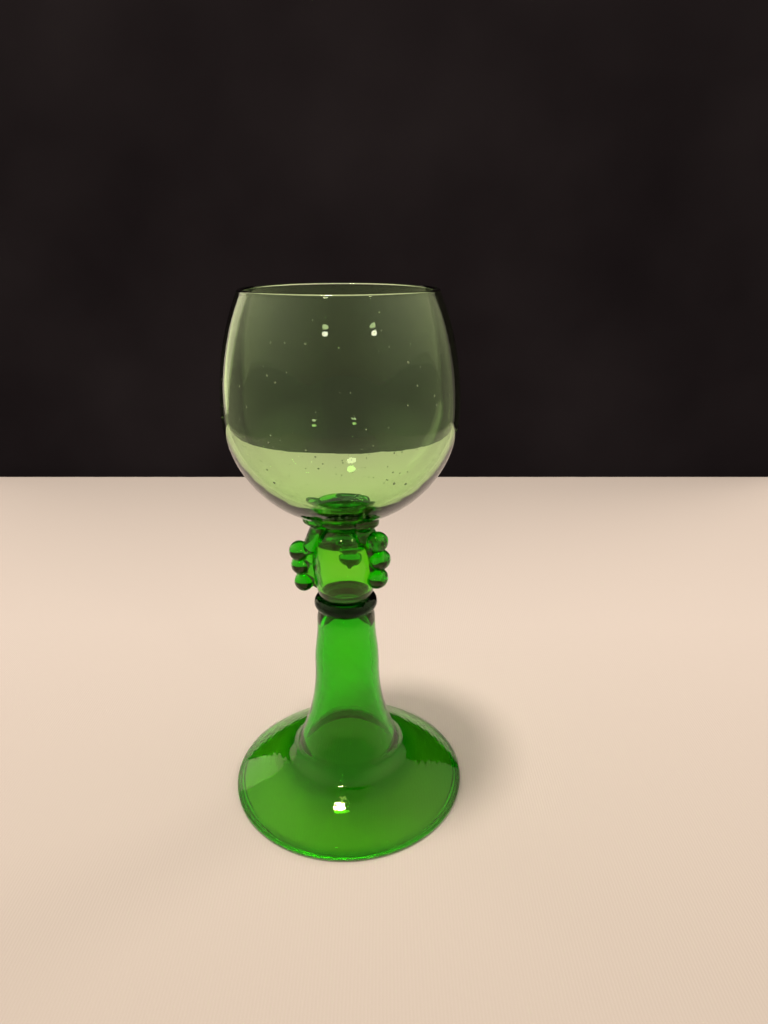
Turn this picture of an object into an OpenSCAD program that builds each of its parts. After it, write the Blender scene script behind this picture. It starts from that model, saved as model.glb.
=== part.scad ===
// Roemer wine glass: a blown bowl welded on a hollow knop with three pinched trails,
// a wound collar ring, and a hollow stem that opens out into a bell foot.
// Millimetres, +Z up, origin in the middle of the ring on which the foot stands.

/* [Bowl] */
// Largest outside diameter of the bowl
bowl_d = 66.6; // [50:0.2:90]
// Height of the bowl from its underside up to its widest place
bowl_lower_h = 33.2; // [24:0.2:45]
// Height from the widest place up to the rim
bowl_upper_h = 31.4; // [20:0.2:40]
// Height at which the upper wall would close, so a larger value gives a wider mouth
bowl_upper_reach = 53.3; // [48:0.1:80]
// Wall at the widest place
bowl_wall = 1.6; // [1:0.1:2.5]
// Thickness of the bottom over the seat disc
bowl_base_t = 3; // [1.6:0.1:8]

/* [Seat disc] */
// Diameter of the disc that carries the bowl
seat_d = 17.6; // [15:0.1:22]
// Thickness of the disc in its middle
seat_t = 2.4; // [1.5:0.1:4]
// Radius of the disc's rounded edge
seat_edge_r = 0.9; // [0.4:0.1:1.2]

/* [Knop] */
// Largest diameter of the hollow knop
knop_d = 19.8; // [16:0.1:26]
// Diameter of the knop where the seat disc is welded on
knop_top_d = 13.6; // [12:0.1:14.6]
// Diameter of the knop where it meets the stem
knop_base_d = 14; // [12:0.1:15.4]
// Height of the knop
knop_h = 25.4; // [22:0.1:32]
// Height of the widest place above the knop's base
knop_belly_h = 14; // [10:0.1:15]
// Side wall of the knop round its bubble
knop_wall = 1.1; // [0.8:0.1:2]
// Solid glass under the bubble
knop_floor_t = 2; // [1.2:0.1:4]
// Solid glass over the bubble
knop_crown_t = 1.8; // [1.2:0.1:4]
// Height above the knop's base at which the bubble rounds in to its floor
bubble_low_h = 5.5; // [4.6:0.1:8]
// Depth below the knop's top at which the bubble rounds in to its crown
bubble_high_h = 6; // [4.6:0.1:8]
// How far the bubble's side keeps its direction where it rounds in
bubble_ease = 2.2; // [1:0.1:2.6]
// Width over which the bubble's floor and crown stay level
bubble_flat_d = 9; // [4:0.2:11]

/* [Trails] */
// Directions of the three pinched trails round the axis, left, right and rear
trail_turn = [172, 332, 84]; // [0:1:360]
// Directions in which their ears lie, as each trail leans a little
ear_turn = [200, 319, 84]; // [0:1:360]
// Height of each trail's tip above the knop's base
tail_rise = [2.9, 6, 5.2]; // [2.5:0.1:7]
// Pinched lobes down each trail
lobe_count = 3; // [2:1:3]
// Radius of a lobe
lobe_r = 3.1; // [2.4:0.05:3.4]
// Depth of each trail's top lobe below the knop's top
lobe_drop = [8.3, 2.7, 4.4]; // [2.5:0.1:9]
// Distance from one lobe to the next on each trail
lobe_pitch = [5.6, 6.2, 5.9]; // [4.6:0.1:6.4]
// How far the lobes of each trail stand out from the knop's widest place
lobe_reach = [7, 5.3, 6.4]; // [4.5:0.1:9]
// How far the lowest lobe stands back from the others
lobe_tail_in = 0.8; // [0:0.1:2]
// Width of each trail across its lobes
trail_w = [6.8, 7.4, 8.8]; // [4:0.1:9]
// Share of the width that is pinched away between the lobes
pinch = 0.4; // [0:0.01:0.5]
// Width of a trail at its tip
tail_w = 2.5; // [1.5:0.1:4]
// Thickness of the plain trail over the knop's shoulder
trail_t = 2.5; // [2:0.1:4]
// Width of the flattened ear under the bowl
ear_w = 8; // [5:0.1:10]
// Height of the ear's edge below the bowl
ear_t = 2.3; // [1:0.1:2.4]
// How far each ear reaches from the axis
ear_reach = [12.6, 12.6, 8.3]; // [8.2:0.1:15]

/* [Collar ring] */
// Outside diameter of the wound ring
ring_d = 19.6; // [17:0.1:26]
// Thickness of the ring's thread
ring_thread = 4.6; // [3:0.1:6]

/* [Foot and stem] */
// Diameter of the foot over its edge
foot_d = 76; // [62:0.5:95]
// Height of the whole foot with its stem
foot_h = 67; // [60:0.5:85]
// Radius of the foot's rounded edge
foot_edge_r = 1.2; // [0.8:0.05:1.6]
// Height of the bell above the table
bell_h = 11.7; // [9:0.1:13.5]
// Diameter of the bell where it starts to turn up
bell_d = 41.2; // [36:0.2:50]
// Steepness of the bell just above its edge, in degrees
bell_rise = 40; // [25:1:45]
// Steepness of the bell where it starts to turn up, in degrees
bell_turn = 18; // [8:1:28]
// How far the turn keeps the directions of bell and flare at its ends
turn_ease = 1.7; // [0.8:0.1:2.4]
// Height of the flare's lower end, above the turn
flare_low_h = 15.5; // [14.5:0.1:20]
// Diameter of the flare's lower end
flare_low_d = 33.2; // [27:0.2:35]
// Steepness of the flare's lower end, in degrees
flare_lean = 70; // [60:1:82]
// How far the flare keeps that direction before it straightens
flare_ease_low = 7.5; // [3:0.2:10]
// Height at which the stem starts to open into the flare
flare_h = 44.9; // [36:0.1:48]
// How far the flare keeps the stem's direction before it opens
flare_ease_high = 15; // [8:0.2:20]
// Diameter of the stem at the top of the flare
stem_low_d = 20.5; // [16:0.1:26]
// Diameter of the stem just under the waist
stem_high_d = 18.2; // [15.6:0.1:24]
// How far the stem keeps its direction at both ends
stem_ease = 7; // [3:0.2:8]
// Height of the rounded shoulder under the waist
shoulder_h = 6; // [4:0.1:9]
// How far the shoulder keeps the stem's direction before it turns in
shoulder_ease = 3.6; // [2:0.1:4]
// Wall of the stem
stem_wall = 2.2; // [1.4:0.1:3]
// Wall of the bell
bell_wall = 1.4; // [1:0.1:2]
// Wall in the turn between bell and flare, where the glass is thickest
turn_wall = 3; // [1.4:0.1:3.6]
// Width of the flat ring that touches the table
foot_land = 1; // [0.6:0.1:1.6]
// Solid glass between the stem's hollow and the knop
stem_cap_t = 2; // [1.4:0.1:6]

/* [Hidden] */

$fn = 96;
pale_green = [0.72, 0.86, 0.62, 0.55];
deep_green = [0.16, 0.6, 0.1, 0.8];
dark_green = [0.03, 0.16, 0.04];

// Steps along each curved stretch of an outline
curve_steps = 14;
// Steps round a rounded edge, and round the ring's thread
edge_steps = 32;
thread_steps = 48;
// Points round a trail, and slices along one
trail_round = 20;
trail_slices = 42;
// How deep a trail's blank goes into the knop before it is cut to fit
trail_root = 1.5;
// How far each trail's blank goes into the bowl; the rear one stops inside the seat disc's edge
trail_over = [2, 2, -1];
// Heights in which a trail's tip comes away from the knop, widens, and leans out to the ear
tail_run = 3;
taper_run = 7;
neck_run = 3;
neck_over = 0.8;
// Direction in which the shoulder runs into the waist
waist_ease = [0.4, -1];
// Heights below and above the foot's turn in which its wall thickens
thick_run = 2;
// Distance under which two points of an outline count as one
same_point = 0.001;
// Room kept between the points where two stretches of the hollow's outline meet
lining_room = 0.2;
// Radius of the fire-polished rim, from the wall left there
rim_angle = asin(bowl_upper_h / bowl_upper_reach);
rim_r = bowl_wall * cos(rim_angle) / 2;

knop_z = foot_h;
seat_z = knop_z + knop_h;
bowl_z = seat_z + seat_t;
bowl_belly_z = bowl_z + bowl_lower_h;
rim_z = bowl_belly_z + bowl_upper_h;

// Points of an ellipse about [0, z], from one angle to another
function arc(rx, rz, z, from, to) = [
    for (i = [0 : curve_steps])
        let (a = from + (to - from) * i / curve_steps)
        [rx * cos(a), z + rz * sin(a)]
];

// Points of a cubic curve through its ends a and d, pulled towards b and c
function curve(a, b, c, d) = [
    for (i = [0 : curve_steps])
        let (t = i / curve_steps, s = 1 - t)
        s * s * s * a + 3 * s * s * t * b + 3 * s * t * t * c + t * t * t * d
];

// The same outline moved to the left of its direction of travel, each point by its own wall
function moved_in(points, walls) = [
    for (i = [0 : len(points) - 1])
        let (before = points[max(i - 1, 0)], after = points[min(i + 1, len(points) - 1)])
        let (run = after - before)
        points[i] + walls[i] * [-run[1], run[0]] / norm(run)
];

// The point that lies beyond b on the line from a
function run_on(a, b, by) = b + by * (b - a) / norm(b - a);

// A share from 0 to 1 that starts and ends softly
function eased(t) = (1 - cos(180 * min(max(t, 0), 1))) / 2;

// Direction in the outline that rises inwards by an angle
function inwards(angle) = [-cos(angle), sin(angle)];

// Drops each point that repeats the one before it
function without_repeats(points) = [
    for (i = [0 : len(points) - 1])
        if (i == 0 || norm(points[i] - points[max(i - 1, 0)]) > same_point) points[i]
];

function reversed(points) = [for (i = [len(points) - 1 : -1 : 0]) points[i]];

// Outside of the bowl, from the middle of its underside up to the rim
function bowl_outline() = without_repeats(concat(
    arc(bowl_d / 2, bowl_lower_h, bowl_belly_z, -90, 0),
    arc(bowl_d / 2, bowl_upper_reach, bowl_belly_z, 0, rim_angle)
));

// Inside of the bowl, from the middle of its bottom up to the rim
function bowl_lining() = without_repeats(concat(
    arc(bowl_d / 2 - bowl_wall, bowl_lower_h - bowl_base_t, bowl_belly_z, -90, 0),
    arc(bowl_d / 2 - bowl_wall, bowl_upper_reach, bowl_belly_z, 0, rim_angle)
));

// Height of the bowl's underside at a distance from the axis
function bowl_under(r) = bowl_belly_z - bowl_lower_h * sqrt(1 - pow(2 * r / bowl_d, 2));

// Outside of the knop from its base to its top: two arcs that meet at the belly
knop_low_reach = knop_belly_h / sin(acos(knop_base_d / knop_d));
knop_high_reach = (knop_h - knop_belly_h) / sin(acos(knop_top_d / knop_d));
function knop_outline() = without_repeats(concat(
    arc(knop_d / 2, knop_low_reach, knop_z + knop_belly_h, -acos(knop_base_d / knop_d), 0),
    arc(knop_d / 2, knop_high_reach, knop_z + knop_belly_h, 0, acos(knop_top_d / knop_d))
));
function knop_radius(z) =
    let (h = z - knop_z - knop_belly_h)
    let (reach = h < 0 ? knop_low_reach : knop_high_reach)
    knop_d / 2 * sqrt(max(0, 1 - pow(h / reach, 2)));

// Side of the knop's bubble, and its whole outline from the floor up to the crown
function bubble_side() = [
    for (p = moved_in(knop_outline(), [for (q = knop_outline()) knop_wall]))
        if (p[1] > knop_z + bubble_low_h && p[1] < seat_z - bubble_high_h) p
];
function bubble_outline() =
    let (side = bubble_side(), last = len(side) - 1)
    let (floor_z = knop_z + knop_floor_t, crown_z = seat_z - knop_crown_t)
    without_repeats(concat(
        curve([0, floor_z], [bubble_flat_d / 2, floor_z],
            run_on(side[1], side[0], bubble_ease), side[0]),
        side,
        curve(side[last], run_on(side[last - 1], side[last], bubble_ease),
            [bubble_flat_d / 2, crown_z], [0, crown_z])
    ));

// Outside of foot and stem, from the edge of the foot up to the waist
edge_mid = [foot_d / 2 - foot_edge_r, foot_edge_r];
edge_top = edge_mid + foot_edge_r * [sin(bell_rise), cos(bell_rise)];
bell_top = [bell_d / 2, bell_h];
flare_low = [flare_low_d / 2, flare_low_h];
stem_low = [stem_low_d / 2, flare_h];
stem_high = [stem_high_d / 2, foot_h - shoulder_h];
waist = [knop_base_d / 2, foot_h];
bell_pull = (edge_top[0] - bell_top[0]) / 3;
function stem_outline() = without_repeats(concat(
    curve(edge_top, edge_top + bell_pull * inwards(bell_rise),
        bell_top - bell_pull * inwards(bell_turn), bell_top),
    curve(bell_top, bell_top + turn_ease * inwards(bell_turn),
        flare_low - turn_ease * inwards(flare_lean), flare_low),
    curve(flare_low, flare_low + flare_ease_low * inwards(flare_lean),
        stem_low - [0, flare_ease_high], stem_low),
    curve(stem_low, stem_low + [0, stem_ease], stem_high - [0, stem_ease], stem_high)
));
function foot_outline() = without_repeats(concat(
    [for (p = arc(foot_edge_r, foot_edge_r, 0, -90, 90 - bell_rise)) edge_mid + p],
    stem_outline(),
    curve(stem_high, stem_high + [0, shoulder_ease], waist + waist_ease, waist)
));

// Wall of foot and stem at a height of the outside
turn_h = (bell_h + flare_low_h) / 2;
function wall_at(z) = z < turn_h
    ? bell_wall + (turn_wall - bell_wall) * eased((z - bell_h + thick_run) / (turn_h - bell_h + thick_run))
    : turn_wall + (stem_wall - turn_wall) * eased((z - turn_h) / (flare_low_h + thick_run - turn_h));

// Hollow of foot and stem, from the land up to its round top
dome_h = stem_high_d / 2 - stem_wall;
dome_z = foot_h - stem_cap_t - dome_h;
land_r = edge_mid[0] - foot_land;
function foot_lining() = without_repeats(concat(
    [[land_r, 0]],
    [
        for (p = moved_in(stem_outline(), [for (q = stem_outline()) wall_at(q[1])]))
            if (p[0] < land_r - lining_room && p[1] > lining_room && p[1] < dome_z - lining_room) p
    ],
    arc(dome_h, dome_h, dome_z, 0, 90)
));

// Sections, solid to the axis, that neighbours are cut with
module knop_section() {
    polygon(concat([[0, knop_z]], knop_outline(), [[0, seat_z]]));
}

module foot_section() {
    polygon(concat([[0, 0]], foot_outline(), [[0, foot_h]]));
}

// Blown bowl with a fire-polished rim
module bowl() {
    color(pale_green)
    rotate_extrude() {
        polygon(concat(bowl_outline(), reversed(bowl_lining())));
        translate([(bowl_d / 2 - bowl_wall / 2) * cos(rim_angle), rim_z])
        circle(r = rim_r, $fn = edge_steps);
    }
}

// Disc of hot glass between knop and bowl, dished to the bowl's underside
module seat_disc() {
    color(deep_green)
    rotate_extrude()
    seat_section();
}

module seat_section() {
    edge_z = bowl_under(seat_d / 2 - seat_edge_r) - seat_edge_r;
    difference() {
        union() {
            translate([seat_d / 2 - seat_edge_r, edge_z])
            circle(r = seat_edge_r, $fn = edge_steps);
            polygon([
                [0, seat_z],
                [knop_top_d / 2, seat_z],
                [seat_d / 2 - seat_edge_r, edge_z - seat_edge_r],
                [seat_d / 2 - seat_edge_r, bowl_z + seat_t],
                [0, bowl_z + seat_t]
            ]);
        }
        polygon(concat(bowl_outline(), [[0, rim_z]]));
    }
}

// Hollow barrel with a closed bubble inside
module knop() {
    color(deep_green)
    rotate_extrude()
    difference() {
        knop_section();
        polygon(bubble_outline());
    }
}

// Outside of trail n at a height: its plain ribbon, or the lobe that stands out there
neck_z = seat_z + neck_over;
function ear_z(n) = bowl_under(ear_reach[n]);
function tail_z(n) = knop_z + tail_rise[n];
function lobe_z(n, i) = seat_z - lobe_drop[n] - i * lobe_pitch[n];
function lobe_mid_r(n, i) =
    knop_d / 2 + lobe_reach[n] - lobe_r - (i == lobe_count - 1 ? lobe_tail_in : 0);
function lobe_edge(n, i, z) =
    let (h = z - lobe_z(n, i))
    abs(h) < lobe_r ? lobe_mid_r(n, i) + sqrt(lobe_r * lobe_r - h * h) : 0;
function ribbon_edge(n, z) = lookup(z, [
    [tail_z(n), knop_radius(tail_z(n))],
    [tail_z(n) + tail_run, knop_d / 2 + trail_t],
    [neck_z - neck_run, knop_radius(neck_z - neck_run) + trail_t],
    [neck_z, knop_top_d / 2 + trail_t + neck_over],
    [ear_z(n) - ear_t, ear_reach[n]]
]);
function trail_edge(n, z) = max(concat(
    [ribbon_edge(n, z)],
    [for (i = [0 : lobe_count - 1]) lobe_edge(n, i, z)]
));

// Half the width of trail n at a height, drawn in between the lobes
function lobe_swell(n, z) = max([
    for (i = [0 : lobe_count - 1])
        let (h = abs(z - lobe_z(n, i)))
        h < lobe_r ? sqrt(1 - pow(h / lobe_r, 2)) : 0
]);
function plain_half(n, z) = lookup(z, [
    [tail_z(n), tail_w / 2],
    [tail_z(n) + taper_run, trail_w[n] / 2],
    [neck_z - neck_over, trail_w[n] / 2],
    [ear_z(n) - ear_t, ear_w / 2]
]);
function trail_half(n, z) =
    z > lobe_z(n, 0) ? plain_half(n, z)
    : plain_half(n, z) * (1 - pinch * (1 - lobe_swell(n, z)));

// Direction of trail n round the axis at a height, leaning over from its lobes to its ear
function trail_angle(n, z) = lookup(z, [
    [lobe_z(n, 1), trail_turn[n]],
    [ear_z(n) - ear_t, ear_turn[n]]
]);

// One slice across trail n, in its place round the knop
function trail_slice(n, z) =
    let (edge = trail_edge(n, z))
    let (root = min(knop_radius(min(z, seat_z)), edge) - trail_root)
    let (turn = trail_angle(n, z))
    [
        for (i = [0 : trail_round - 1])
            let (a = 360 * i / trail_round)
            let (out = (edge + root) / 2 + (edge - root) / 2 * cos(a))
            let (aside = trail_half(n, z) * sin(a))
            [out * cos(turn) - aside * sin(turn), out * sin(turn) + aside * cos(turn), z]
    ];

// Trail of soft glass laid down the knop and pinched into lobes, before it is cut to fit
module trail_blank(n) {
    rise = ear_z(n) + trail_over[n] - tail_z(n);
    points = [
        for (k = [0 : trail_slices])
            each trail_slice(n, tail_z(n) + rise * k / trail_slices)
    ];
    sides = [
        for (k = [0 : trail_slices - 1], i = [0 : trail_round - 1])
            let (low = k * trail_round, high = low + trail_round, j = (i + 1) % trail_round)
            each [
                [low + i, high + j, low + j],
                [low + i, high + i, high + j]
            ]
    ];
    bottom = [[for (i = [0 : trail_round - 1]) i]];
    top = [[for (i = [trail_round - 1 : -1 : 0]) trail_slices * trail_round + i]];
    polyhedron(points, concat(sides, bottom, top));
}

// Knop, seat disc and bowl as one section, to cut the trails to fit them
module core_section() {
    knop_section();
    seat_section();
    polygon(concat(bowl_outline(), [[0, rim_z]]));
}

// Trail n, cut to the knop, the seat disc and the bowl that it is laid on
module trail(n) {
    color(deep_green)
    difference() {
        trail_blank(n);
        rotate_extrude() core_section();
    }
}

module trail_left() { trail(0); }
module trail_right() { trail(1); }
module trail_rear() { trail(2); }

// Thick thread wound round the waist, cut to the knop above and the stem below
module collar_ring() {
    color(dark_green)
    rotate_extrude()
    difference() {
        translate([(ring_d - ring_thread) / 2, foot_h])
        circle(r = ring_thread / 2, $fn = thread_steps);
        knop_section();
        foot_section();
    }
}

// Hollow stem and bell foot, blown in one piece and open below
module foot() {
    color(deep_green)
    rotate_extrude()
    polygon(concat(foot_outline(), [[0, foot_h]], reversed(foot_lining())));
}

bowl();
seat_disc();
knop();
trail_left();
trail_right();
trail_rear();
collar_ring();
foot();
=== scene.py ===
import math
import random
from collections import namedtuple

import bpy
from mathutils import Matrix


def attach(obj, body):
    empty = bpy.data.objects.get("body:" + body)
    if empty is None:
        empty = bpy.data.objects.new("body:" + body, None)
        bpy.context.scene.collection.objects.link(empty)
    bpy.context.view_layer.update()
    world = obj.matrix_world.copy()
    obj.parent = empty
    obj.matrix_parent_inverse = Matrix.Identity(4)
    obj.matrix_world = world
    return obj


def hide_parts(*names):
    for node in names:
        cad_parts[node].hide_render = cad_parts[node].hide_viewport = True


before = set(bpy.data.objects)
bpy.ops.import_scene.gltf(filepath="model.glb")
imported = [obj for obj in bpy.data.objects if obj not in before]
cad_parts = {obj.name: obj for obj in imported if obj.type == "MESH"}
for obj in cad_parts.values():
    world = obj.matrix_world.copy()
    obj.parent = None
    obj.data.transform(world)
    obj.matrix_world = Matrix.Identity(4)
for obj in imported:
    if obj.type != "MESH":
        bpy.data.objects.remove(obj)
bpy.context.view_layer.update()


# Foot and stem: one gather of deep green glass, blown into a long hollow stem and opened below
# into a bell that thins as it widens. The glass stands on the bell's edge, worn dull below.
# Sizes are in millimetres, and a point of an outline is its radius and its height.
mm = 0.001
turn_steps = 192
least_step = 0.002
merge_gap = 0.002
turned_crease = math.radians(50)

foot_r = 37.98
foot_edge_r = 1.2
foot_land = 1
bell_rise = math.radians(40)
bell_turn = math.radians(18)
bell_top = (20.6, 11.7)
fillet_ease = 1.7
flare_low = (16.6, 15.5)
flare_lean = math.radians(70)
flare_ease_low = 7.5
flare_ease_high = 15
stem_low = (10.25, 44.9)
stem_high = (9.1, 61)
stem_ease = 7
stem_cap = 2
shoulder_ease = 3.6
waist = (7, 67)
waist_ease = (0.4, 1)

stem_wall = 2.2
bell_wall = 1.4
bell_thin_z = 9.7
turn_wall = 3
turn_z = 13.6
stem_even_z = 17.5
hollow_trim = 0.2

edge_steps = 14
bell_steps = 28
fillet_steps = 18
flare_steps = 36
stem_steps = 20
shoulder_steps = 14
dome_steps = 20

glass_ior = 1.5
swell_scale = 75
swell_detail = 1.5
streak_scale = (300, 300, 14)
streak_detail = 1
tool_ring_scale = 170
tool_ring_waver = 2.5
tool_ring_waver_scale = 0.6
worn_h = 0.12
worn_roughness = 0.45


def up_slope(angle):
    """The way inwards and upwards at an angle from the level."""
    return (-math.cos(angle), math.sin(angle))


def stepped(point, way, by):
    """The point that lies a step away, or back where the step is negative."""
    return (point[0] + by * way[0], point[1] + by * way[1])


def bent_line(a, b, c, d, steps):
    """Points of a soft bend from a to d that leaves towards b and arrives from c."""
    points = []
    for i in range(steps + 1):
        t = i / steps
        s = 1 - t
        shares = (s * s * s, 3 * s * s * t, 3 * s * t * t, t * t * t)
        points.append(tuple(sum(w * p[k] for w, p in zip(shares, (a, b, c, d))) for k in (0, 1)))
    return points


def round_line(middle, reach, rise, start, end, steps):
    """Points of an ellipse about a middle, from one angle in degrees to another."""
    points = []
    for i in range(steps + 1):
        a = math.radians(start + (end - start) * i / steps)
        points.append((middle[0] + reach * math.cos(a), middle[1] + rise * math.sin(a)))
    return points


def inner_line(points, wall):
    """The same line moved to its left by a wall that may differ with the height."""
    moved = []
    for i, (r, z) in enumerate(points):
        before, after = points[max(i - 1, 0)], points[min(i + 1, len(points) - 1)]
        run, rise = after[0] - before[0], after[1] - before[1]
        length = math.hypot(run, rise)
        moved.append((r - wall(z) * rise / length, z + wall(z) * run / length))
    return moved


def drawn_outline(name, outline):
    """A chain of edges along the outline, drawn out point by point from one vertex."""
    bpy.ops.object.select_all(action="DESELECT")
    bpy.ops.mesh.primitive_plane_add(size=mm)
    piece = bpy.context.object
    piece.name = name
    piece.data.name = name
    bpy.ops.object.mode_set(mode="EDIT")
    bpy.ops.mesh.select_all(action="SELECT")
    bpy.ops.mesh.merge(type="CENTER")
    at = outline[0]
    bpy.ops.transform.translate(value=(at[0] * mm, 0, at[1] * mm))
    for point in outline[1:]:
        if math.hypot(point[0] - at[0], point[1] - at[1]) < least_step:
            continue
        step = ((point[0] - at[0]) * mm, 0, (point[1] - at[1]) * mm)
        bpy.ops.mesh.extrude_vertices_move(TRANSFORM_OT_translate={"value": step})
        at = point
    return piece


def turned(name, outline, closed=False):
    """The outline spun round the glass's axis into a closed body, as on a glassmaker's pipe."""
    piece = drawn_outline(name, outline)
    if closed:
        bpy.ops.mesh.select_all(action="DESELECT")
        bpy.ops.object.mode_set(mode="OBJECT")
        piece.data.vertices[0].select = True
        piece.data.vertices[-1].select = True
        bpy.ops.object.mode_set(mode="EDIT")
        bpy.ops.mesh.edge_face_add()
    bpy.ops.mesh.select_all(action="SELECT")
    bpy.ops.mesh.spin(steps=turn_steps, angle=math.tau, center=(0, 0, 0), axis=(0, 0, 1))
    bpy.ops.mesh.select_all(action="SELECT")
    bpy.ops.mesh.remove_doubles(threshold=merge_gap * mm)
    bpy.ops.mesh.normals_make_consistent(inside=False)
    bpy.ops.object.mode_set(mode="OBJECT")
    bpy.ops.object.shade_smooth_by_angle(angle=turned_crease)
    return piece


def noise(tree, place, scale, detail):
    """Soft uneven patches over a place, as a grey value."""
    patches = tree.nodes.new("ShaderNodeTexNoise")
    patches.inputs["Scale"].default_value = scale
    patches.inputs["Detail"].default_value = detail
    tree.links.new(place, patches.inputs["Vector"])
    return patches.outputs["Fac"]


def bump(tree, height, depth, under=None, strength=1.0):
    """A relief of a depth in millimetres, laid over the one that is under it, as a normal."""
    relief = tree.nodes.new("ShaderNodeBump")
    relief.inputs["Strength"].default_value = strength
    relief.inputs["Distance"].default_value = depth * mm
    tree.links.new(height, relief.inputs["Height"])
    if under is not None:
        tree.links.new(under, relief.inputs["Normal"])
    return relief.outputs["Normal"]


def glass(name, colour, density, sheen, swell, streak, ring):
    """Clear coloured glass: the colour comes from the depth of glass that light passes, and the
    surface keeps slow swells, upright streaks and faint rings from the blowing and turning, each
    of its own depth. It is worn dull where it stands."""
    material = bpy.data.materials.new(name)
    material.use_nodes = True
    tree = material.node_tree
    nodes, links = tree.nodes, tree.links
    shader = nodes["Principled BSDF"]
    shader.inputs["Base Color"].default_value = (1, 1, 1, 1)
    shader.inputs["Roughness"].default_value = 0.0
    shader.inputs["IOR"].default_value = glass_ior
    shader.inputs["Transmission Weight"].default_value = 1.0
    shader.inputs["Specular Tint"].default_value = (*sheen, 1)
    body = nodes.new("ShaderNodeVolumeAbsorption")
    body.inputs["Color"].default_value = (*colour, 1)
    body.inputs["Density"].default_value = density
    links.new(body.outputs["Volume"], nodes["Material Output"].inputs["Volume"])
    place = nodes.new("ShaderNodeTexCoord").outputs["Object"]
    squeeze = nodes.new("ShaderNodeMapping")
    squeeze.inputs["Scale"].default_value = streak_scale
    links.new(place, squeeze.inputs["Vector"])
    rings = nodes.new("ShaderNodeTexWave")
    rings.wave_type = "RINGS"
    rings.rings_direction = "Z"
    rings.inputs["Scale"].default_value = tool_ring_scale
    rings.inputs["Distortion"].default_value = tool_ring_waver
    rings.inputs["Detail Scale"].default_value = tool_ring_waver_scale
    links.new(place, rings.inputs["Vector"])
    swells = noise(tree, place, swell_scale, swell_detail)
    streaks = noise(tree, squeeze.outputs["Vector"], 1, streak_detail)
    surface = bump(tree, swells, swell)
    surface = bump(tree, streaks, streak, under=surface)
    surface = bump(tree, rings.outputs["Fac"], ring, under=surface)
    links.new(surface, shader.inputs["Normal"])
    apart = nodes.new("ShaderNodeSeparateXYZ")
    links.new(place, apart.inputs["Vector"])
    worn = nodes.new("ShaderNodeMapRange")
    worn.inputs["From Min"].default_value = worn_h * mm
    worn.inputs["From Max"].default_value = 0.0
    worn.inputs["To Min"].default_value = 0.0
    worn.inputs["To Max"].default_value = worn_roughness
    links.new(apart.outputs["Z"], worn.inputs["Value"])
    links.new(worn.outputs["Result"], shader.inputs["Roughness"])
    return material


edge_middle = (foot_r - foot_edge_r, foot_edge_r)
edge_top = (
    edge_middle[0] + foot_edge_r * math.sin(bell_rise),
    edge_middle[1] + foot_edge_r * math.cos(bell_rise),
)
bell_pull = (edge_top[0] - bell_top[0]) / 3
bell_way = up_slope(bell_rise)
turn_way = up_slope(bell_turn)
flare_way = up_slope(flare_lean)
upright = (0, 1)
stem_line = bent_line(
    edge_top,
    stepped(edge_top, bell_way, bell_pull),
    stepped(bell_top, turn_way, -bell_pull),
    bell_top,
    bell_steps,
)
stem_line += bent_line(
    bell_top,
    stepped(bell_top, turn_way, fillet_ease),
    stepped(flare_low, flare_way, -fillet_ease),
    flare_low,
    fillet_steps,
)[1:]
stem_line += bent_line(
    flare_low,
    stepped(flare_low, flare_way, flare_ease_low),
    stepped(stem_low, upright, -flare_ease_high),
    stem_low,
    flare_steps,
)[1:]
stem_line += bent_line(
    stem_low,
    stepped(stem_low, upright, stem_ease),
    stepped(stem_high, upright, -stem_ease),
    stem_high,
    stem_steps,
)[1:]
shoulder_line = bent_line(
    stem_high,
    stepped(stem_high, upright, shoulder_ease),
    (waist[0] + waist_ease[0], waist[1] - waist_ease[1]),
    waist,
    shoulder_steps,
)


def foot_wall(z):
    """Wall of foot and stem at a height: thin in the bell, thickest where the bell turns up."""
    if z < turn_z:
        share = max((z - bell_thin_z) / (turn_z - bell_thin_z), 0)
        return bell_wall + (turn_wall - bell_wall) * (1 - math.cos(math.pi * share)) / 2
    share = min((z - turn_z) / (stem_even_z - turn_z), 1)
    return turn_wall + (stem_wall - turn_wall) * (1 - math.cos(math.pi * share)) / 2


edge_line = round_line(
    edge_middle, foot_edge_r, foot_edge_r, -90, 90 - math.degrees(bell_rise), edge_steps
)
dome_r = stem_high[0] - stem_wall
dome_z = waist[1] - stem_cap - dome_r
land_r = edge_middle[0] - foot_land
hollow_line = [
    (r, z)
    for r, z in inner_line(stem_line, foot_wall)
    if r < land_r - hollow_trim and hollow_trim < z < dome_z - hollow_trim
]
foot_outline = [(land_r, 0.0)] + edge_line + stem_line[1:] + shoulder_line[1:] + [(0, waist[1])]
foot_hollow = [(land_r, 0.0)] + hollow_line
foot_hollow += round_line((0, dome_z), dome_r, dome_r, 0, 90, dome_steps)
foot = turned("foot_glass", foot_outline[::-1] + foot_hollow[1:])
green_glass = glass(
    "deep_green_glass",
    colour=(0.559, 0.947, 0.059),
    density=1800,
    sheen=(1, 1, 0.6),
    swell=0.12,
    streak=0.05,
    ring=0.014,
)
foot.data.materials.append(green_glass)
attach(foot, "root")
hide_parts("foot")


# Collar ring: a thick thread of almost black green glass, wound hot round the waist where the
# knop meets the stem, and pressed into the hollow between them. Here and below, welded faces
# overlap by the weld, so that no film of air shows between them.
ring_r = 7.5
ring_thread = 4.6
ring_open = 140
ring_steps = 90
ring_trim = 0.05
weld = 0.04
knop_r = 9.9
knop_top_r = 6.8
knop_base_r = 7
knop_belly = 14
knop_h = 25.4
knop_low_steps = 36
knop_high_steps = 32

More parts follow.
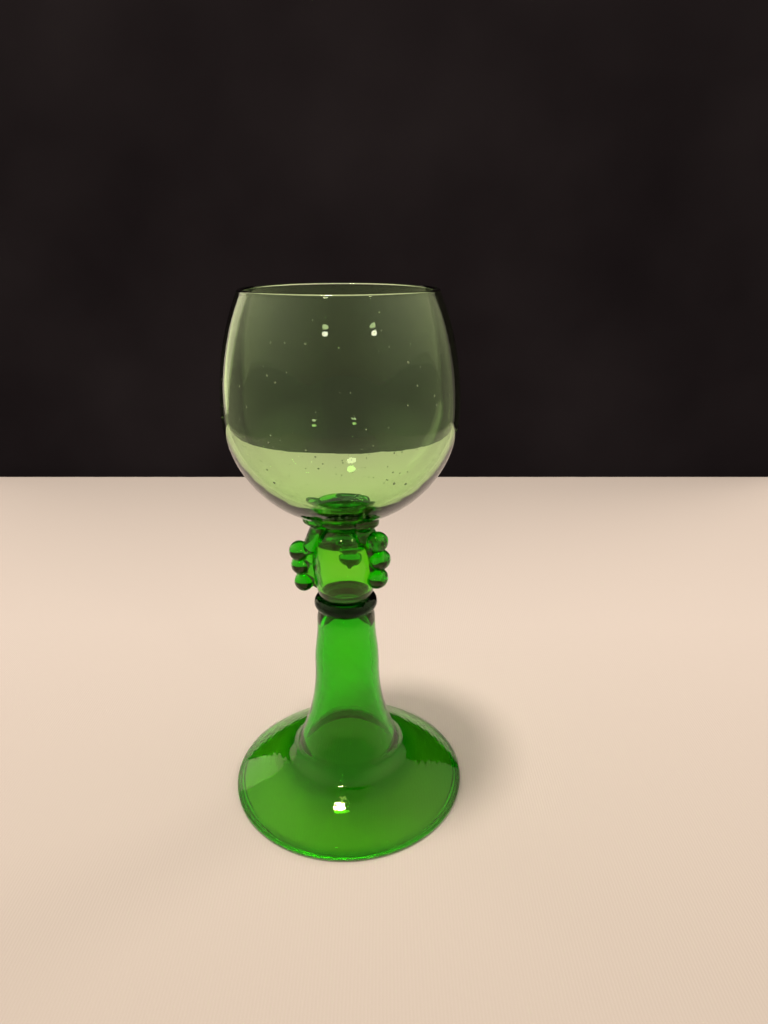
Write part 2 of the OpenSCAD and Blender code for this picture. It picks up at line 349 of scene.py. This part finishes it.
belly = (0, waist[1] + knop_belly)
knop_base_turn = math.acos(knop_base_r / knop_r)
knop_top_turn = math.acos(knop_top_r / knop_r)
knop_low_rise = knop_belly / math.sin(knop_base_turn)
knop_high_rise = (knop_h - knop_belly) / math.sin(knop_top_turn)
knop_line = round_line(
    belly, knop_r, knop_low_rise, -math.degrees(knop_base_turn), 0, knop_low_steps
)
knop_line += round_line(
    belly, knop_r, knop_high_rise, 0, math.degrees(knop_top_turn), knop_high_steps
)[1:]


def body_radius(z):
    """Radius of stem or knop at a height near the waist."""
    line = shoulder_line if z < waist[1] else knop_line
    for (r0, z0), (r1, z1) in zip(line, line[1:]):
        if z0 <= z <= z1:
            return r0 + (r1 - r0) * (z - z0) / (z1 - z0)
    return line[0][0] if z < line[0][1] else line[-1][0]


thread_r = ring_thread / 2
ring_round = [
    (r, z)
    for r, z in round_line((ring_r, waist[1]), thread_r, thread_r, -ring_open, ring_open, ring_steps)
    if r > body_radius(z) - weld
]
ring_seat = [
    (r - weld, z)
    for r, z in shoulder_line + knop_line[1:]
    if ring_round[0][1] + ring_trim < z < ring_round[-1][1] - ring_trim
]
collar = turned("collar_ring_glass", ring_round + ring_seat[::-1], closed=True)
dark_green_glass = glass(
    "dark_green_glass",
    colour=(0.0, 0.7, 0.0),
    density=3000,
    sheen=(0.35, 0.6, 0.35),
    swell=0.08,
    streak=0.01,
    ring=0.006,
)
collar.data.materials.append(dark_green_glass)
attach(collar, "root")
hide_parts("collar_ring")


# Knop: a hollow barrel of deep green glass, blown with a closed bubble inside, and welded by
# its floor to the stem and by its crown to the seat disc.
knop_wall = 1.1
knop_floor = 2
knop_crown = 1.8
bubble_low = 5.5
bubble_high = 6
bubble_ease = 2.2
bubble_flat = 4.5
bubble_steps = 24

seat_z = waist[1] + knop_h
floor_z = waist[1] + knop_floor
crown_z = seat_z - knop_crown
knop_outline = [(0, waist[1] - weld), (waist[0], waist[1] - weld)] + knop_line[1:] + [(0, seat_z)]
knop = turned("knop_glass", knop_outline)
side = [
    (r, z)
    for r, z in inner_line(knop_line, lambda z: knop_wall)
    if waist[1] + bubble_low < z < seat_z - bubble_high
]


def run_on(start, end, by):
    """The point that lies beyond end on the line from start."""
    length = math.hypot(end[0] - start[0], end[1] - start[1])
    return (end[0] + by * (end[0] - start[0]) / length, end[1] + by * (end[1] - start[1]) / length)


def face_inwards():
    """Turns the faces of the active piece round, because a bubble is a wall seen from inside."""
    bpy.ops.object.mode_set(mode="EDIT")
    bpy.ops.mesh.select_all(action="SELECT")
    bpy.ops.mesh.flip_normals()
    bpy.ops.object.mode_set(mode="OBJECT")


def shut_in(body, bubbles):
    """Joins bubbles to the body of glass that they lie in."""
    bpy.ops.object.select_all(action="DESELECT")
    for bubble in bubbles:
        bubble.select_set(True)
    body.select_set(True)
    bpy.context.view_layer.objects.active = body
    bpy.ops.object.join()


bubble_line = bent_line(
    (0, floor_z), (bubble_flat, floor_z), run_on(side[1], side[0], bubble_ease), side[0], bubble_steps
)
bubble_line += side[1:]
bubble_line += bent_line(
    side[-1], run_on(side[-2], side[-1], bubble_ease), (bubble_flat, crown_z), (0, crown_z), bubble_steps
)[1:]
knop_bubble = turned("knop_bubble", bubble_line)
face_inwards()
shut_in(knop, [knop_bubble])
knop.data.materials.append(green_glass)
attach(knop, "root")
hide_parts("knop")


# Seat disc: a button of hot green glass pressed between the knop and the bowl, so that its
# upper face is dished to the bowl and its edge is squeezed out into a round lip.
seat_r = 8.8
seat_t = 2.4
seat_edge_r = 0.9
seat_lip_start = -75
seat_lip_steps = 16
seat_dish_in = 0.3
seat_dish_steps = 20
bowl_r = 33.3
bowl_z = seat_z + seat_t
bowl_lower = 33.2
bowl_middle = (0, bowl_z + bowl_lower)


def bowl_under(r):
    """Height of the bowl's underside at a distance from the axis."""
    return bowl_middle[1] - bowl_lower * math.sqrt(1 - (r / bowl_r) ** 2)


lip = (seat_r - seat_edge_r, bowl_under(seat_r - seat_edge_r) - seat_edge_r)
lip_line = [
    (r, z)
    for r, z in round_line(lip, seat_edge_r, seat_edge_r, seat_lip_start, 90, seat_lip_steps)
    if z < bowl_under(r) + weld
]
dish_r = seat_r - seat_dish_in
seat_outline = [(0, seat_z - weld), (knop_top_r, seat_z - weld)] + lip_line
for i in range(seat_dish_steps + 1):
    r = dish_r * (1 - i / seat_dish_steps)
    seat_outline.append((r, bowl_under(r) + weld))
seat = turned("seat_disc_glass", seat_outline)
seat.data.materials.append(green_glass)
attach(seat, "root")
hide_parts("seat_disc")


# Bowl: blown from a gather of paler green glass, widest below its middle and drawn in towards
# a rim that was melted round in the fire. Tiny air bubbles, called seeds, are shut in its wall.
bowl_upper = 31.4
bowl_upper_reach = 53.3
bowl_wall = 1.6
bowl_base = 3
bowl_low_steps = 60
bowl_high_steps = 40
rim_flat = 0.99
rim_steps = 12
seed_count = 170
seed_rows = (16, 96)
seed_depths = (0.4, 0.6)
seed_sizes = (0.14, 0.18, 0.22, 0.28, 0.36)

rim_turn = math.degrees(math.asin(bowl_upper / bowl_upper_reach))


def bowl_side(reach, drop):
    """Outline of the bowl from the axis up to the rim, for its outside or its lining."""
    low = round_line(bowl_middle, reach, drop, -90, 0, bowl_low_steps)
    return low + round_line(bowl_middle, reach, bowl_upper_reach, 0, rim_turn, bowl_high_steps)[1:]


bowl_line = bowl_side(bowl_r, bowl_lower)
lining_line = bowl_side(bowl_r - bowl_wall, bowl_lower - bowl_base)
rim_r = (bowl_line[-1][0] - lining_line[-1][0]) / 2
rim_middle = (bowl_line[-1][0] - rim_r, bowl_line[-1][1])
rim_line = round_line(rim_middle, rim_r, rim_r * rim_flat, 0, 180, rim_steps)
bowl = turned("bowl_glass", bowl_line + rim_line[1:-1] + lining_line[::-1])
chance = random.Random(11)
seeds = []
for _ in range(seed_count):
    row = min(chance.randrange(*seed_rows), chance.randrange(*seed_rows))
    turn = chance.uniform(0, math.tau)
    deep = chance.uniform(*seed_depths)
    r = bowl_line[row][0] * deep + lining_line[row][0] * (1 - deep)
    z = bowl_line[row][1] * deep + lining_line[row][1] * (1 - deep)
    bpy.ops.object.select_all(action="DESELECT")
    bpy.ops.mesh.primitive_ico_sphere_add(
        subdivisions=2,
        radius=mm * chance.choice(seed_sizes),
        location=(r * math.cos(turn) * mm, r * math.sin(turn) * mm, z * mm),
    )
    face_inwards()
    bpy.ops.object.shade_smooth()
    seeds.append(bpy.context.object)
shut_in(bowl, seeds)
pale_green_glass = glass(
    "pale_green_glass",
    colour=(0.56, 0.97, 0.2),
    density=230,
    sheen=(0.7, 0.82, 0.76),
    swell=0.035,
    streak=0.007,
    ring=0.002,
)
bowl.data.materials.append(pale_green_glass)
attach(bowl, "root")
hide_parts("bowl")


# Trails: three strips of soft green glass, laid down the knop from a flat ear under the bowl and
# pinched with a tool into three beads each. Strip and beads are melted into one, and then cut to
# the knop, the seat disc and the bowl that they stick to.
lobe_r = 3.1
lobe_count = 3
lobe_tail_in = 0.8
lobe_segments = 40
lobe_rings = 24
pinch = 0.4
trail_root = 1.5
trail_t = 2.5
trail_steps = 60
trail_points = 28
trail_crease = math.radians(60)
tail_w = 2.5
tail_run = 7
tip_in = 0.4
strip_in = 0.4
neck_over = 0.8
neck_z = seat_z + neck_over
ear_w = 8
ear_t = 2.3
melt_grain = 0.16
soften_share = 0.5
soften_rounds = 10
core_first_r = 9
core_last_r = 18
core_over = 12

core_line = [(0, waist[1])] + inner_line(knop_line, lambda z: weld)[1:]
core_line += [(r - weld, z) for r, z in lip_line]
core_line += [(r, bowl_under(r) + weld) for r in range(core_first_r, core_last_r + 1)]
core_line += [(core_last_r, bowl_z + core_over), (0, bowl_z + core_over)]

# What sets one trail apart: the turns of its beads and its ear round the axis in degrees, the rise
# of its tip above the waist, the drop of its top bead below the seat disc, the pitch of the beads,
# how far they reach out of the knop, its width, and how far out and up its ear goes.
TrailShape = namedtuple("TrailShape", "turn ear_turn rise drop pitch reach width ear_reach over")
left_shape = TrailShape(
    turn=172, ear_turn=200, rise=2.9, drop=8.3, pitch=5.6, reach=7, width=6.8, ear_reach=12.6, over=2
)
right_shape = TrailShape(
    turn=332, ear_turn=319, rise=6, drop=2.7, pitch=6.2, reach=5.3, width=7.4, ear_reach=12.6, over=2
)
rear_shape = TrailShape(
    turn=84, ear_turn=84, rise=5.2, drop=4.4, pitch=5.9, reach=6.4, width=8.8, ear_reach=8.3, over=-1
)
TrailSlice = namedtuple("TrailSlice", "z middle depth half angle")


def between(x, points):
    """Value at x on a line of straight stretches."""
    for (x0, y0), (x1, y1) in zip(points, points[1:]):
        if x <= x1:
            return y0 + (y1 - y0) * max(x - x0, 0) / (x1 - x0)
    return points[-1][1]


def knop_radius(z):
    """Outside radius of the knop at a height."""
    h = z - belly[1]
    return knop_r * math.sqrt(max(0, 1 - (h / (knop_low_rise if h < 0 else knop_high_rise)) ** 2))


def turn_slice(angle):
    """Turns what is selected round the glass's axis, counted as seen from above."""
    bpy.ops.transform.rotate(value=-math.radians(angle), orient_axis="Z", center_override=(0, 0, 0))


def trail_slices(shape, beads, turns):
    """The oval slices of a strip from its tip up to its ear, flattened between the beads."""
    ear_z = bowl_under(shape.ear_reach)
    tip_z = max(waist[1] + shape.rise, beads[-1][1] - lobe_r + tip_in)
    ribbon = [
        (tip_z, knop_radius(tip_z)),
        (beads[-1][1], beads[-1][0] - strip_in),
        (beads[0][1], beads[0][0] - strip_in),
        (neck_z, knop_top_r + trail_t + neck_over),
        (ear_z - ear_t, shape.ear_reach),
    ]
    breadth = [
        (tip_z, tail_w / 2),
        (tip_z + tail_run, shape.width / 2),
        (neck_z - neck_over, shape.width / 2),
        (ear_z - ear_t, ear_w / 2),
    ]
    top_z = ear_z + shape.over
    slices = []
    for i in range(trail_steps + 1):
        z = tip_z + (top_z - tip_z) * i / trail_steps
        edge = between(z, ribbon)
        half = between(z, breadth)
        if z < beads[0][1]:
            half *= 1 - pinch
        root = min(knop_radius(min(z, seat_z)), edge) - trail_root
        middle, depth = (edge + root) / 2, (edge - root) / 2
        slices.append(TrailSlice(z, middle, depth, half, between(z, turns)))
    return slices


def applied(piece, name, kind, **settings):
    """Gives a piece a modifier with its settings and applies it."""
    modifier = piece.modifiers.new(name, kind)
    for setting, value in settings.items():
        setattr(modifier, setting, value)
    bpy.ops.object.modifier_apply(modifier=name)


def drawn_trail(name, shape):
    """One strip, drawn out upwards from its tip, slice by slice, in its place round the knop."""
    beads = [
        (knop_r + shape.reach - lobe_r, seat_z - shape.drop - i * shape.pitch)
        for i in range(lobe_count)
    ]
    beads[-1] = (beads[-1][0] - lobe_tail_in, beads[-1][1])
    turns = ((beads[1][1], shape.turn), (bowl_under(shape.ear_reach) - ear_t, shape.ear_turn))
    slices = trail_slices(shape, beads, turns)
    first = slices[0]
    bpy.ops.object.select_all(action="DESELECT")
    bpy.ops.mesh.primitive_circle_add(vertices=trail_points, radius=mm, fill_type="NGON")
    piece = bpy.context.object
    piece.name = name
    piece.data.name = name
    bpy.ops.object.mode_set(mode="EDIT")
    bpy.ops.mesh.select_all(action="SELECT")
    bpy.ops.transform.resize(value=(first.depth, first.half, 1), center_override=(0, 0, 0))
    bpy.ops.transform.translate(value=(first.middle * mm, 0, first.z * mm))
    turn_slice(first.angle)
    for last, now in zip(slices, slices[1:]):
        lift = (0, 0, (now.z - last.z) * mm)
        bpy.ops.mesh.extrude_region_move(TRANSFORM_OT_translate={"value": lift})
        turn_slice(-last.angle)
        bpy.ops.transform.translate(value=((now.middle - last.middle) * mm, 0, 0))
        bpy.ops.transform.resize(
            value=(now.depth / last.depth, now.half / last.half, 1),
            center_override=(now.middle * mm, 0, now.z * mm),
        )
        turn_slice(now.angle)
    bpy.ops.mesh.select_all(action="SELECT")
    bpy.ops.mesh.normals_make_consistent(inside=False)
    for r, z in beads:
        bpy.ops.mesh.select_all(action="DESELECT")
        bpy.ops.mesh.primitive_uv_sphere_add(
            segments=lobe_segments, ring_count=lobe_rings, radius=lobe_r * mm
        )
        bpy.ops.transform.resize(value=(1, shape.width / lobe_r / 2, 1), center_override=(0, 0, 0))
        bpy.ops.transform.translate(value=(r * mm, 0, z * mm))
        turn_slice(between(z, turns))
    bpy.ops.object.mode_set(mode="OBJECT")
    core = turned("trail_core", core_line)
    bpy.ops.object.select_all(action="DESELECT")
    bpy.context.view_layer.objects.active = piece
    piece.select_set(True)
    applied(piece, "melted_together", "REMESH", mode="VOXEL", voxel_size=melt_grain * mm)
    applied(piece, "softened", "SMOOTH", factor=soften_share, iterations=soften_rounds)
    applied(piece, "seat_cut", "BOOLEAN", operation="DIFFERENCE", solver="EXACT", object=core)
    bpy.data.objects.remove(core)
    bpy.ops.object.shade_smooth_by_angle(angle=trail_crease)
    return piece


for node, shape in (
    ("trail_left", left_shape),
    ("trail_right", right_shape),
    ("trail_rear", rear_shape),
):
    trail = drawn_trail(node + "_glass", shape)
    trail.data.materials.clear()
    trail.data.materials.append(green_glass)
    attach(trail, "root")
    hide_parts(node)


# Table cloth: a pale cloth with fine woven ribs, laid flat on the table on which the glass stands.
# It is matt, and shade painted into its colour darkens it a little towards the near edge.
# From here on, sizes are in metres, apart from the depth of the ribs.
table_size = (0.76, 0.778, 1)
table_place = (0, -0.06, 0)
cloth_roughness = 0.9
rib_scale = 349
rib_waver = 0.6
rib_waver_scale = 0.2
rib_depth = 0.1
rib_strength = 0.22
furrow_colour = (0.655, 0.606, 0.63, 1)
rib_colour = (0.675, 0.626, 0.66, 1)
# Painted shade: the colour that the cloth darkens to at its near edge.
near_shade_colour = (0.33, 0.29, 0.26, 1)
near_shade_start_y = 0.1
near_shade_end_y = -0.44


def flat_sheet(name, size, place, tilt=0):
    """A plain sheet of a size at a place, flat or tilted up about its width."""
    bpy.ops.object.select_all(action="DESELECT")
    bpy.ops.mesh.primitive_plane_add(size=1, location=place, rotation=(tilt, 0, 0))
    sheet = bpy.context.object
    sheet.name = name
    sheet.scale = size
    bpy.ops.object.transform_apply(location=True, rotation=True, scale=True)
    return sheet


def matt_cloth(name):
    """A cloth without shine, as its material and the shader that takes its colour."""
    material = bpy.data.materials.new(name)
    material.use_nodes = True
    shader = material.node_tree.nodes["Principled BSDF"]
    shader.inputs["Roughness"].default_value = cloth_roughness
    shader.inputs["Specular IOR Level"].default_value = 0.0
    return material, shader


def mixed(tree, share, first, second):
    """Two colours mixed by a share. The first may come from another node."""
    mix = tree.nodes.new("ShaderNodeMix")
    mix.data_type = "RGBA"
    tree.links.new(share, mix.inputs["Factor"])
    if isinstance(first, tuple):
        mix.inputs["A"].default_value = first
    else:
        tree.links.new(first, mix.inputs["A"])
    mix.inputs["B"].default_value = second
    return mix.outputs["Result"]


floor = flat_sheet("table_cloth", table_size, table_place)
cloth, cloth_shader = matt_cloth("pale_cloth")
weave = cloth.node_tree
across = weave.nodes.new("ShaderNodeTexCoord").outputs["Object"]
ribs = weave.nodes.new("ShaderNodeTexWave")
ribs.wave_type = "BANDS"
ribs.bands_direction = "X"
ribs.inputs["Scale"].default_value = rib_scale
ribs.inputs["Distortion"].default_value = rib_waver
ribs.inputs["Detail Scale"].default_value = rib_waver_scale
weave.links.new(across, ribs.inputs["Vector"])
lengths = weave.nodes.new("ShaderNodeSeparateXYZ")
weave.links.new(across, lengths.inputs["Vector"])
# Painted shade: darkens the cloth's colour from the middle of the table towards its near edge.
painted_near_shade = weave.nodes.new("ShaderNodeMapRange")
painted_near_shade.inputs["From Min"].default_value = near_shade_start_y
painted_near_shade.inputs["From Max"].default_value = near_shade_end_y
weave.links.new(lengths.outputs["Y"], painted_near_shade.inputs["Value"])
tint = mixed(weave, ribs.outputs["Fac"], furrow_colour, rib_colour)
shaded_cloth_colour = mixed(weave, painted_near_shade.outputs["Result"], tint, near_shade_colour)
raised = bump(weave, ribs.outputs["Fac"], rib_depth, strength=rib_strength)
weave.links.new(shaded_cloth_colour, cloth_shader.inputs["Base Color"])
weave.links.new(raised, cloth_shader.inputs["Normal"])
floor.data.materials.append(cloth)


# Backdrop: a flat dark cloth hung upright behind the table, with the light and shade of folds painted
# into its colour as uneven tone.
# It is the dark ground on which the bowl and its rim show pale.
backdrop_size = (0.66, 0.4, 1)
backdrop_place = (0.012, 0.335, 0.17)
fold_shade_scale = 7
fold_shade_detail = 3
fold_shade_colour = (0.003, 0.002, 0.0035, 1)
fold_lit_colour = (0.024, 0.021, 0.026, 1)

backdrop = flat_sheet("backdrop", backdrop_size, backdrop_place, tilt=math.pi / 2)
dark, dark_shader = matt_cloth("dark_cloth")
hung = dark.node_tree.nodes.new("ShaderNodeTexCoord").outputs["Object"]
# Painted light and shade: uneven patches stand in for the folds of the cloth. The dark base is the
# cloth's own colour.
painted_fold_shade = noise(dark.node_tree, hung, fold_shade_scale, fold_shade_detail)
shade = mixed(dark.node_tree, painted_fold_shade, fold_shade_colour, fold_lit_colour)
dark.node_tree.links.new(shade, dark_shader.inputs["Base Color"])
backdrop.data.materials.append(dark)


# Light: a soft warm room, brightest overhead and on its side walls, and five plain lamps. The key
# lamp casts the shadow, two small ones in front give the bowl its highlights, a tall one lights its
# left edge, and one behind lights the far cloth without showing in the glass.
warm = (1.0, 0.86, 0.66)
overhead_power = 4.0
overhead_level = 0.35
room_level = 0.25
room_fall = -0.13
side_fall = -0.4
wall_level = 1.8
wall_foot = 0.16

world = bpy.data.worlds.new("room")
bpy.context.scene.world = world
world.use_nodes = True
sky = world.node_tree
way = sky.nodes.new("ShaderNodeTexCoord")
parts = sky.nodes.new("ShaderNodeSeparateXYZ")
sky.links.new(way.outputs["Generated"], parts.inputs[0])


def worked(operation, *terms):
    """The result of a sum on the sky, whose terms are numbers or results of other sums."""
    node = sky.nodes.new("ShaderNodeMath")
    node.operation = operation
    for socket, term in zip(node.inputs, terms):
        if isinstance(term, float):
            socket.default_value = term
        else:
            sky.links.new(term, socket)
    return node.outputs[0]


above = worked("MAXIMUM", parts.outputs["Z"], 0.0)
overhead = worked("POWER", above, overhead_power)
aside = worked("MULTIPLY", parts.outputs["X"], parts.outputs["X"])
front = worked("MULTIPLY_ADD", parts.outputs["Y"], room_fall, room_level)
room = worked("MULTIPLY", front, worked("MULTIPLY_ADD", aside, side_fall, 1.0))
walls = worked("MULTIPLY", aside, worked("ADD", above, wall_foot))
around = worked("MULTIPLY_ADD", walls, wall_level, room)
level = worked("MULTIPLY_ADD", overhead, overhead_level, around)
sky.links.new(level, sky.nodes["Background"].inputs["Strength"])
sky.nodes["Background"].inputs["Color"].default_value = (*warm, 1)

for name, place, wide, high, power, shown in (
    ("key_lamp", (-0.12, -0.1, 1.1), 0.15, 0.15, 7.8, True),
    ("lamp_left", (-0.27, -1.29, 0.82), 0.14, 0.06, 0.6, True),
    ("lamp_right", (0.84, -1.05, 0.8), 0.14, 0.06, 0.6, True),
    ("lamp_side", (-0.85, 0.75, 0.3), 0.5, 0.9, 1.05, True),
    ("lamp_back", (0.75, 0.55, 0.7), 0.35, 0.35, 1.8, False),
):
    bpy.ops.object.light_add(type="AREA", location=place)
    lamp = bpy.context.object
    lamp.name = name
    lamp.data.shape = "ELLIPSE"
    lamp.data.size = wide
    lamp.data.size_y = high
    lamp.data.energy = power
    lamp.data.color = warm
    lamp.visible_camera = False
    lamp.visible_glossy = shown
    lamp.visible_transmission = shown
    tilt = math.atan2(math.hypot(place[0], place[1]), place[2])
    bearing = math.atan2(place[0], -place[1])
    lamp.rotation_euler = (tilt, 0, bearing)


# Camera: a wide lens close to the glass and a little above its rim, at the photo's viewing angle.
# Its place comes from fitting the rim, the bowl's outline and the foot's edge.
camera_place = (0.0119, -0.1943, 0.1709)
camera_tilt = math.radians(69.05)
camera_lens = 24.61
camera_sensor = 36

bpy.ops.object.camera_add(location=camera_place, rotation=(camera_tilt, 0, 0))
camera = bpy.context.object
camera.data.lens = camera_lens
camera.data.sensor_width = camera_sensor
bpy.context.scene.camera = camera
bpy.context.scene.view_settings.view_transform = "Standard"
